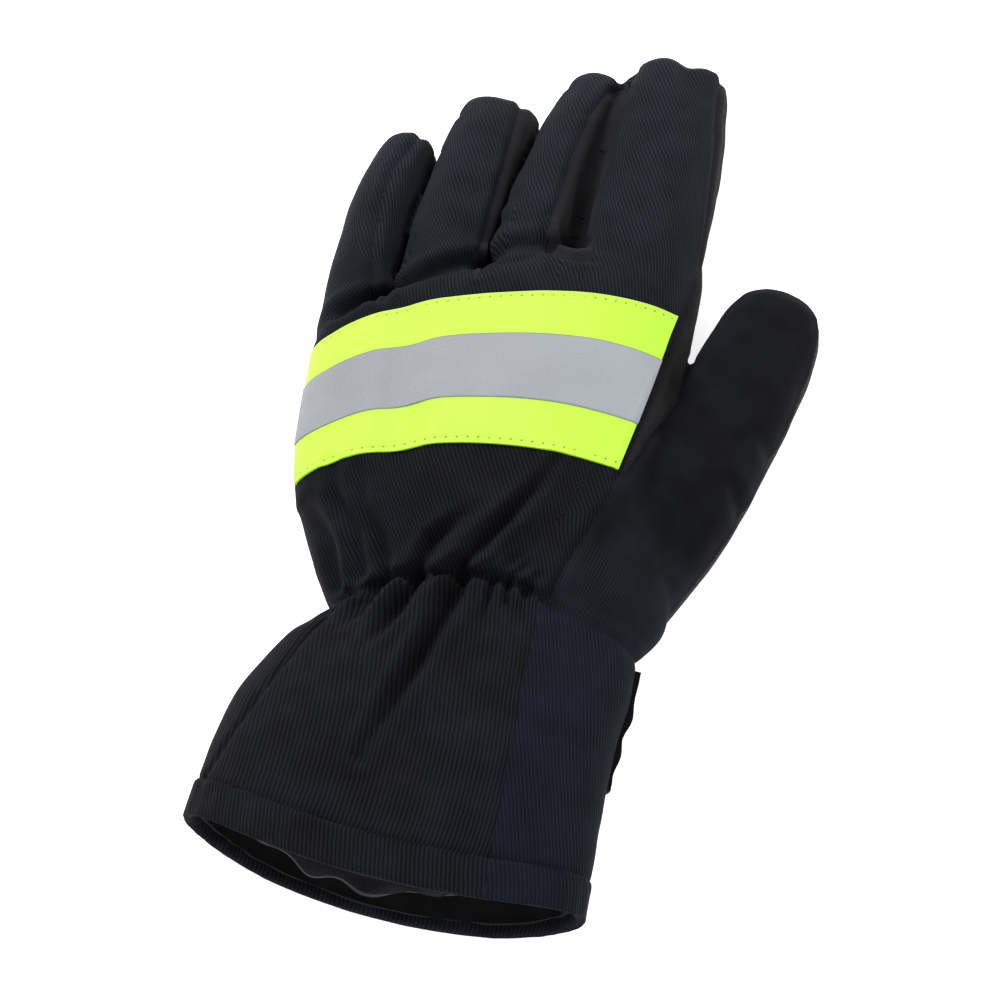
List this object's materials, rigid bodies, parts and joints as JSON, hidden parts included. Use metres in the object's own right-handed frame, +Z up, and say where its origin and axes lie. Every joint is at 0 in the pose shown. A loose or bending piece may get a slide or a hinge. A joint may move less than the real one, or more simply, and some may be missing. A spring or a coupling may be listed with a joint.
{
  "type": "firefighter glove",
  "caption": "Left-hand firefighting glove with gauntlet cuff, reflective knuckle band and gathered wrist, lying palm down",
  "frame": {"origin": "on the surface that the glove lies on, under the middle of its bounding box", "axes": "+X towards the thumb, +Y from the cuff to the fingertips, +Z up from the palm to the back of the hand"},
  "size_m": [0.1632, 0.3164, 0.0461],
  "materials": {
    "charcoal_twill": "matt charcoal fire-resistant twill",
    "black_fabric": "plain matt black cloth",
    "black_leather": "dull black leather",
    "navy_twill": "matt navy twill",
    "lime_tape": "fluorescent lime yellow woven tape",
    "silver_tape": "silver grey reflective tape",
    "lining": "soft black lining cloth",
    "webbing": "black strap webbing"
  },
  "bodies": {
    "root": {"hand_back": "charcoal_twill", "palm": "black_leather", "fourchette_little_ring": "charcoal_twill", "fourchette_ring_middle": "black_fabric", "fourchette_middle_index": "black_fabric", "index_side": "black_fabric", "thumb_back": "charcoal_twill", "thumb_palm": "black_leather", "tape_yellow": "lime_tape", "tape_silver": "silver_tape", "cuff_back": "charcoal_twill", "cuff_side": "navy_twill", "cuff_palm": "charcoal_twill", "hem_back": "charcoal_twill", "hem_side": "navy_twill", "hem_palm": "charcoal_twill", "cuff_lining": "lining", "wrist_strap": "webbing"}
  },
  "joints": []
}
